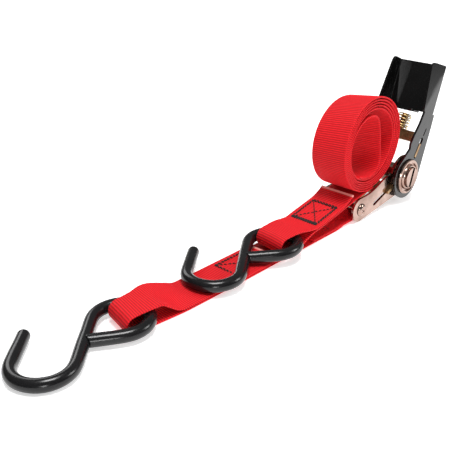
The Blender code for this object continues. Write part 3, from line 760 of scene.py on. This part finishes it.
def makeHook(side, turn):
    d = hook
    line, bend, eye, meeting, leg = hookLine()
    centre, places = resample(line, 0.8)
    centre = smoothed(centre, 7)
    slopeTilt = d["rise"] / (eye[0] + d["eye"] - bend[0])
    centre = np.c_[centre, slopeTilt * (centre[:, 0] - bend[0])]
    sides, uneven = d["sides"], d["unevenness"]
    wobble = random.Random(side)
    phases = [wobble.uniform(0, 6.28) for _ in range(6)]
    around = 2 * np.pi * np.arange(sides) / sides
    twist = np.cos(around + phases[1])[None, :] * 1.5
    bumps = uneven * np.sin(places[:, None] / 3.1 + phases[0] + twist)
    bumps += uneven * np.sin(places[:, None] / 7.3 + phases[2] + 2 * around[None, :])
    radii = d["wire"] + bumps
    # The tip is a dome, and the cut end turns in over the wire's face.
    tipShares = np.sin(np.radians(np.linspace(82, 8, 9)))
    first = centre[0] - centre[1]
    first /= np.linalg.norm(first)
    dome = [centre[0] + first * d["wire"] * share for share in tipShares]
    domeRadii = [np.full(sides, d["wire"] * math.sqrt(1 - share ** 2)) for share in tipShares]
    centres = np.concatenate([dome, centre])
    allRadii = np.concatenate([domeRadii, radii])
    ring = tubeRings(centres, allRadii, sides)
    legUnit = np.array([math.cos(math.radians(leg)), math.sin(math.radians(leg)), 0.0])
    aside = np.array([-legUnit[1], legUnit[0], 0.0])
    crossing = math.radians(d["angle"] - leg)
    legStart = np.array([meeting[0], meeting[1], centre[-1][2]])
    lastRing = ring[-1] - legStart
    along, across, rise = lastRing @ legUnit, lastRing @ aside, lastRing[:, 2]
    extra = []
    for share, inward in d["endSteps"]:
        scale = 1.0 - inward / d["wire"]
        flat, high = across * scale, rise * scale
        room = np.sqrt((d["wire"] + d["endGap"]) ** 2 - high ** 2)
        stop = (room + flat * math.cos(crossing)) / math.sin(crossing)
        reach = along + (stop - along) * share
        rows = reach[:, None] * legUnit + flat[:, None] * aside + legStart
        rows[:, 2] += high
        extra.append(rows)
    coat = ringMesh(side + "HookVinyl", np.concatenate([ring, extra]), 50.0)
    last = centre[-1] - centre[-2]
    last /= np.linalg.norm(last)
    coreCentre = np.concatenate([centre[:-1], [centre[-1] - last * 0.2, centre[-1]]])
    coreRadii = np.full((len(coreCentre), 16), d["core"] - 0.05)
    coreRadii[-1] = d["core"] - 0.35
    core = ringMesh(side + "HookWire", tubeRings(coreCentre, coreRadii, 16), 50.0)
    cosine, sine = math.cos(math.radians(turn)), math.sin(math.radians(turn))
    for item in (coat, core):
        for vertex in item.data.vertices:
            x, y, z = vertex.co
            across, up = x - bend[0], y - bend[1]
            vertex.co = (across * cosine - up * sine, across * sine + up * cosine, z)
    low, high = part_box(side + "_hook_coating")
    spread = [[v.co[i] for v in coat.data.vertices] for i in range(3)]
    origin = Vector([
        (low[i] + high[i]) / 2 - (min(spread[i]) + max(spread[i])) / 2 * mm for i in range(3)
    ])
    for item, material, node in ((coat, vinylMaterial, "_hook_coating"), (core, wireMaterial, "_hook_core")):
        for vertex in item.data.vertices:
            vertex.co = vertex.co * mm + origin
        giveMaterial(item, material)
        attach(item, side + "_hook")
        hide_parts(side + node)


makeHook("front", 0.0)
makeHook("rear", -5.5)
print("hooks made")

# Metal parts


metal = {
    "bevel": 0.3,
    "zincNodes": ("frame_plate_near", "frame_plate_far", "spring_crossbar", "gear_near", "gear_far",
                  "mandrel_half_front", "mandrel_half_rear"),
}


def dress(node, material):
    item = frame["nodes"][node]
    giveMaterial(item, material)
    softenEdges(item, metal["bevel"])


for node in metal["zincNodes"]:
    dress(node, zincMaterial)
dress("lock_pawl", pawlMaterial)
print("metal dressed")

# Folded, turned and cut pieces


# A flat plate with holes, from low to high, with extra cuts across it where it will be bent.
def platePoints(outline, holes, low, high, cuts=()):
    curve = bpy.data.curves.new("plateOutline", "CURVE")
    curve.dimensions = "2D"
    curve.fill_mode = "BOTH"
    curve.extrude = (high - low) / 2
    for loop in [outline] + holes:
        spline = curve.splines.new("POLY")
        spline.points.add(len(loop) - 1)
        for point, (across, up) in zip(spline.points, loop):
            point.co = (across, up, 0.0, 1.0)
        spline.use_cyclic_u = True
    item = bpy.data.objects.new("plateOutline", curve)
    bpy.context.scene.collection.objects.link(item)
    bpy.context.view_layer.update()
    graph = bpy.context.evaluated_depsgraph_get()
    mesh = bpy.data.meshes.new_from_object(item.evaluated_get(graph))
    builder = bmesh.new()
    builder.from_mesh(mesh)
    bmesh.ops.remove_doubles(builder, verts=builder.verts, dist=1e-4)
    for point, normal in cuts:
        everything = builder.verts[:] + builder.edges[:] + builder.faces[:]
        place, facing = (*point, 0.0), (*normal, 0.0)
        bmesh.ops.bisect_plane(builder, geom=everything, plane_co=place, plane_no=facing, dist=1e-4)
    bmesh.ops.recalc_face_normals(builder, faces=builder.faces)
    builder.verts.ensure_lookup_table()
    points = [(v.co.x, v.co.y, v.co.z + (low + high) / 2) for v in builder.verts]
    faces = [tuple(v.index for v in face.verts) for face in builder.faces]
    builder.free()
    bpy.data.objects.remove(item, do_unlink=True)
    return points, faces


def joinPieces(name, pieces, material, body, node, bevel, sharpAngle=35.0):
    points, faces = [], []
    for piecePoints, pieceFaces in pieces:
        base = len(points)
        points += [tuple(p) for p in piecePoints]
        faces += [tuple(base + i for i in face) for face in pieceFaces]
    item = newMesh(name, points, faces, sharpAngle=sharpAngle)
    builder = bmesh.new()
    builder.from_mesh(item.data)
    bmesh.ops.recalc_face_normals(builder, faces=builder.faces)
    builder.to_mesh(item.data)
    builder.free()
    giveMaterial(item, material)
    if bevel:
        softenEdges(item, bevel)
    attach(item, body)
    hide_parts(node)


def turnedPiece(centre, profile, sides=64):
    points, faces = [], []
    for radius, across in profile:
        for k in range(sides):
            turn = 2 * math.pi * k / sides
            x, z = centre[0] + radius * math.cos(turn), centre[1] + radius * math.sin(turn)
            points.append(world(x, across, z))
    count = len(profile)
    for i in range(count):
        n = (i + 1) % count
        for k in range(sides):
            m = (k + 1) % sides
            faces.append((i * sides + k, n * sides + k, n * sides + m, i * sides + m))
    return points, faces


handle = {
    "angle": 70.5,
    "length": 78.0,
    "lobe": 15.4,
    "gripStart": 44.4,
    "front": 0.8,
    "armOutside": 18.8,
    "gripOutside": 18.6,
    "thickness": 1.6,
    "pinch": 3.4,
    "fold": 2.6,
    "corner": 4.2,
    "bevel": 0.35,
    "bore": 7.4,
    "slotAngle": 56.0,
    "slots": ((13.2, 28.6, 3.6), (29.8, 35.5, 1.2)),  # from, to and width
    "neck": ((36.0, 1.4), (28.0, 4.6), (22.0, 6.4), (18.5, 5.4)),
    "joggleStart": 35.0,
    "joggleLength": 11.0,
    "shoulder": 1.6,
    "stemHole": ((0.0, -11.3), 3.1),
}


def slotOutline(angle, start, end, width):
    half = width / 2
    turn = math.radians(angle)
    first = ((start + half) * math.cos(turn), (start + half) * math.sin(turn))
    second = ((end - half) * math.cos(turn), (end - half) * math.sin(turn))
    inner = arcPoints(first, half, angle + 90, angle + 270, 8)
    return inner + arcPoints(second, half, angle - 90, angle + 90, 8)


def sideOffset(along, front):
    d = handle
    inward = (d["armOutside"] - d["gripOutside"]) * ease((along - d["joggleStart"]) / d["joggleLength"])
    run, rise = d["length"] - d["gripStart"] - d["shoulder"], d["lobe"] + d["front"]
    diagonal = math.hypot(run, rise)
    crease = ((along - d["gripStart"] - d["shoulder"]) * rise + (front - d["front"]) * run) / diagonal
    deepest = run * rise / diagonal
    return inward + d["pinch"] * np.clip(crease / deepest, 0.0, 1.0)


def handlePlace(along, front, across):
    turn = math.radians(handle["angle"])
    x = spindlePoint[0] + along * math.cos(turn) - front * math.sin(turn)
    z = spindlePoint[2] + along * math.sin(turn) + front * math.cos(turn)
    return world(x, across, z)


def makeHandle():
    d = handle
    rear, start, length, front = -d["lobe"], d["gripStart"], d["length"], d["front"]
    corner = d["corner"]
    outline = arcPoints((0.0, 0.0), d["lobe"], 62, 270, 40)
    outline += [(start, rear), (start, rear + d["fold"]), (length, rear + d["fold"])]
    outline += arcPoints((length - corner, front - corner), corner, 0, 90, 8)
    outline += [(start + d["shoulder"], front), (start, -0.9), *d["neck"]]
    lean = d["slotAngle"] - d["angle"]
    holes = [arcPoints((0.0, 0.0), d["bore"], 0, 350, 35)]
    holes += [slotOutline(lean, *slot) for slot in d["slots"]]
    cuts = [((along, 0.0), (1.0, 0.0)) for along in np.arange(d["joggleStart"], length, 1.2)]
    cuts += [((0.0, up), (0.0, 1.0)) for up in np.arange(-14.0, 1.0, 1.5)]
    pieces = []
    for side in (-1, 1):
        outer = d["armOutside"]
        points, faces = platePoints(outline, holes, outer - d["thickness"], outer, cuts)
        placed = []
        for along, up, across in points:
            placed.append(handlePlace(along, up, side * (across - sideOffset(along, up))))
        pieces.append((placed, faces))
    rows = np.linspace(start + 0.3, length - 0.2, 24)
    fold, thick = d["fold"], d["thickness"]
    points = []
    for along in rows:
        outer = d["armOutside"] - float(sideOffset(along, rear))
        outside = arcPoints((outer - fold, rear + fold), fold, 0, -90, 6)
        inside = arcPoints((outer - fold, rear + fold), fold - thick, -90, 0, 6)
        profile = outside + [(-y, v) for y, v in outside[::-1]]
        profile += [(-y, v) for y, v in inside[::-1]] + inside
        points += [handlePlace(along, v, y) for y, v in profile]
    columns = len(profile)
    faces = gridFaces(len(rows), columns, True)
    faces.append(tuple(range(columns)))
    faces.append(tuple((len(rows) - 1) * columns + j for j in range(columns)))
    pieces.append((points, faces))
    # The tab that closes the grip's end has a hole for the pawl's stem.
    stem = arcPoints(*d["stemHole"], 0, 345, 23)
    tab = [(-7.0, rear + 1.0), (7.0, rear + 1.0)] + arcPoints((5.0, -7.0), 2.0, 0, 90, 5)
    tab += arcPoints((-5.0, -7.0), 2.0, 90, 180, 5)
    points, faces = platePoints(tab, [stem], start - 0.9, start + 0.7)
    pieces.append(([handlePlace(along, v, y) for y, v, along in points], faces))
    joinPieces("foldedHandle", pieces, paintMaterial, "handle", "handle", d["bevel"])


makeHandle()

# The profiles of turned pieces give radius and distance from the middle.
disc = {
    "profile": ((7.1, 19.1), (12.0, 19.1), (12.0, 19.9), (11.6, 20.5), (10.7, 20.7), (10.0, 20.4),
                (9.7, 19.4), (8.8, 19.4), (8.5, 20.6), (8.0, 21.3), (7.4, 21.3), (7.1, 21.0)),
}


def makeDiscs():
    for name, sign in (("near", -1), ("far", 1)):
        profile = [(radius, sign * across) for radius, across in disc["profile"]]
        piece = turnedPiece((spindlePoint[0], spindlePoint[2]), profile)
        title, node = "capDisc" + name.title(), "cap_disc_" + name
        joinPieces(title, [piece], zincMaterial, "spindle", node, 0.0, 28.0)


rivet = {
    "profile": ((0.4, 15.9), (1.3, 15.9), (1.7, 16.3), (2.6, 16.4), (3.5, 16.0), (4.1, 15.4), (4.2, 15.1),
                (2.6, 15.1)),
}


def makeRivet():
    profile = [(radius, -across) for radius, across in rivet["profile"]]
    profile += [(radius, across) for radius, across in rivet["profile"][::-1]]
    piece = turnedPiece(fixedStrap["anchor"], profile, 40)
    joinPieces("anchorRivet", [piece], zincMaterial, "straps_and_frame", "anchor_rivet", 0.0, 30.0)


pawl = {
    "bevel": 0.3,
    "thickness": 2.2,
    "half": ((24.0, 15.1), (10.4, 15.1), (10.4, 16.9), (14.2, 16.9), (14.2, 19.0), (24.0, 19.0), (24.0, 16.9),
             (31.0, 16.9), (31.0, 2.0), (42.0, 2.0)),
}


def makePawl():
    outline = list(pawl["half"]) + [(radius, -across) for radius, across in pawl["half"][::-1]]
    points, faces = platePoints(outline, [], -pawl["thickness"] / 2, pawl["thickness"] / 2)
    turn = math.radians(handle["slotAngle"])
    placed = []
    for radius, across, up in points:
        x = spindlePoint[0] + radius * math.cos(turn) - up * math.sin(turn)
        z = spindlePoint[2] + radius * math.sin(turn) + up * math.cos(turn)
        placed.append(world(x, across, z))
    joinPieces("drivePawl", [(placed, faces)], pawlMaterial, "drive_pawl", "drive_pawl", pawl["bevel"])


makeDiscs()
makeRivet()
makePawl()
print("handle, discs, rivet and pawl made")

# Springs

springs = {
    "drive": {"angle": handle["slotAngle"], "start": 31.4, "end": 41.9, "radius": 4.5, "wire": 0.4,
              "coils": 4, "travel": 4.0, "body": "handle"},
    "lock": {"angle": 199.0, "start": 25.6, "end": 38.1, "radius": 2.8, "wire": 0.38,
             "coils": 6, "travel": 4.0, "body": "straps_and_frame"},
}


def makeSpring(name, node):
    d = springs[name]
    angle = math.radians(d["angle"])
    along = np.array([math.cos(angle), 0.0, math.sin(angle)])
    side = np.array([0.0, 1.0, 0.0])
    up = np.cross(along, side)
    turns = d["coils"] + 1.5
    share = np.linspace(0.0, 1.0, int(turns * 28))
    coil = share * turns
    length = d["end"] - d["start"] - 2 * d["wire"]
    closed = 0.9  # turns that lie flat at each end
    travel = np.clip((coil - closed) / (turns - 2 * closed), 0.0, 1.0)
    ends = d["wire"] * 1.9 * (np.clip(coil / closed, 0, 1) + np.clip((coil - turns + closed) / closed, 0, 1))
    distance = d["start"] + d["wire"] + ends + (length - 3.8 * d["wire"]) * travel
    phase = 2 * np.pi * coil
    centre = np.array([spindlePoint[0], 0.0, spindlePoint[2]])
    points = (
        centre + along * distance[:, None]
        + side * (np.cos(phase) * d["radius"])[:, None]
        + up * (np.sin(phase) * d["radius"])[:, None]
    )
    curve = bpy.data.curves.new(name + "Spring", "CURVE")
    curve.dimensions = "3D"
    curve.bevel_depth = d["wire"] * mm
    curve.bevel_resolution = 3
    curve.use_fill_caps = True
    spline = curve.splines.new("POLY")
    spline.points.add(len(points) - 1)
    for point, place in zip(spline.points, points):
        point.co = (*world(*place), 1.0)
    spline.use_smooth = True
    shape = bpy.data.objects.new("springLine", curve)
    bpy.context.scene.collection.objects.link(shape)
    bpy.context.view_layer.update()
    graph = bpy.context.evaluated_depsgraph_get()
    mesh = bpy.data.meshes.new_from_object(shape.evaluated_get(graph))
    item = bpy.data.objects.new(name + "PawlSpring", mesh)
    bpy.context.scene.collection.objects.link(item)
    bpy.data.objects.remove(shape, do_unlink=True)
    giveMaterial(item, springMaterial)
    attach(item, d["body"])
    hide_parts(node)
    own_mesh(item)


makeSpring("drive", "drive_pawl_spring")
makeSpring("lock", "lock_pawl_spring")
print("springs made")

# Floor, light and camera

studio = {
    "floorTint": (0.9, 0.9, 0.9),
    "floorGlow": 0.5,
    "brightSide": (0.25, -0.2, 0.95),
    "skyDark": 0.02,
    "skyBright": 0.32,
    "lamps": (
        ("topLamp", (-0.1, -0.15, 1.2), 0.45, 14.0),
        ("sideLamp", (0.75, -0.75, 0.55), 0.35, 4.0),
        ("backLamp", (0.2, 1.0, 0.7), 0.5, 3.0),
        ("frontLamp", (-0.85, -0.95, 0.3), 0.25, 3.5),
    ),
    "lampAim": (0.0, 0.0, 0.03),
    "cameraPlace": (-138.0, -257.7, 209.6),
    "cameraAim": (-47.0, 25.2),  # turn about Z, and degrees down
    "lens": 60.6,
}


def makeFloor():
    bpy.ops.mesh.primitive_plane_add(size=8.0, location=(0.0, 0.0, startSize[0][2] - 0.0002))
    floor = bpy.context.object
    floor.name = "floor"
    ground = bpy.data.materials.new("paleFloor")
    ground.use_nodes = True
    shader = ground.node_tree.nodes["Principled BSDF"]
    shader.inputs["Base Color"].default_value = (*studio["floorTint"], 1.0)
    shader.inputs["Roughness"].default_value = 0.9
    shader.inputs["Specular IOR Level"].default_value = 0.1
    shader.inputs["Emission Color"].default_value = (1.0, 1.0, 1.0, 1.0)
    shader.inputs["Emission Strength"].default_value = studio["floorGlow"]
    giveMaterial(floor, ground)


def makeSky():
    place = bpy.data.worlds.new("studioWorld")
    bpy.context.scene.world = place
    place.use_nodes = True
    tree = place.node_tree
    background = tree.nodes["Background"]
    background.inputs["Strength"].default_value = 1.0
    spot = addNode(tree, "ShaderNodeTexCoord")
    facing = addNode(tree, "ShaderNodeVectorMath", operation="DOT_PRODUCT")
    facing.inputs[1].default_value = Vector(studio["brightSide"]).normalized()
    ramp = addNode(tree, "ShaderNodeValToRGB")
    ramp.color_ramp.elements[0].position = 0.0
    ramp.color_ramp.elements[1].position = 1.0
    ramp.color_ramp.elements[0].color = (*[studio["skyDark"]] * 3, 1.0)
    ramp.color_ramp.elements[1].color = (*[studio["skyBright"]] * 3, 1.0)
    scaled = addNode(tree, "ShaderNodeMapRange")
    scaled.inputs["From Min"].default_value = -0.4
    scaled.inputs["From Max"].default_value = 0.9
    link = tree.links.new
    link(spot.outputs["Generated"], facing.inputs[0])
    link(facing.outputs["Value"], scaled.inputs["Value"])
    link(scaled.outputs["Result"], ramp.inputs["Fac"])
    # The background is plain white to the camera, and a gradient in reflections.
    rays = addNode(tree, "ShaderNodeLightPath")
    seen = addNode(tree, "ShaderNodeMix", data_type="RGBA")
    seen.inputs["B"].default_value = (1.0, 1.0, 1.0, 1.0)
    link(rays.outputs["Is Camera Ray"], seen.inputs["Factor"])
    link(ramp.outputs["Color"], seen.inputs["A"])
    link(seen.outputs["Result"], background.inputs["Color"])


def makeLamps():
    for name, spot, size, power in studio["lamps"]:
        lamp = bpy.data.lights.new(name, "AREA")
        lamp.size = size
        lamp.energy = power
        item = bpy.data.objects.new(name, lamp)
        item.location = spot
        towards = Vector(studio["lampAim"]) - Vector(spot)
        item.rotation_euler = towards.to_track_quat("-Z", "Y").to_euler()
        bpy.context.scene.collection.objects.link(item)


def makeCamera():
    camera = bpy.data.cameras.new("camera")
    camera.lens = studio["lens"]
    camera.sensor_width = 36.0
    camera.clip_start = 0.01
    item = bpy.data.objects.new("camera", camera)
    item.location = world(*studio["cameraPlace"])
    turn, down = studio["cameraAim"]
    item.rotation_euler = (math.radians(90.0 - down), 0.0, math.radians(turn))
    bpy.context.scene.collection.objects.link(item)
    bpy.context.scene.camera = item


makeFloor()
makeSky()
makeLamps()
makeCamera()
bpy.context.scene.view_settings.view_transform = "Standard"
print("studio made")
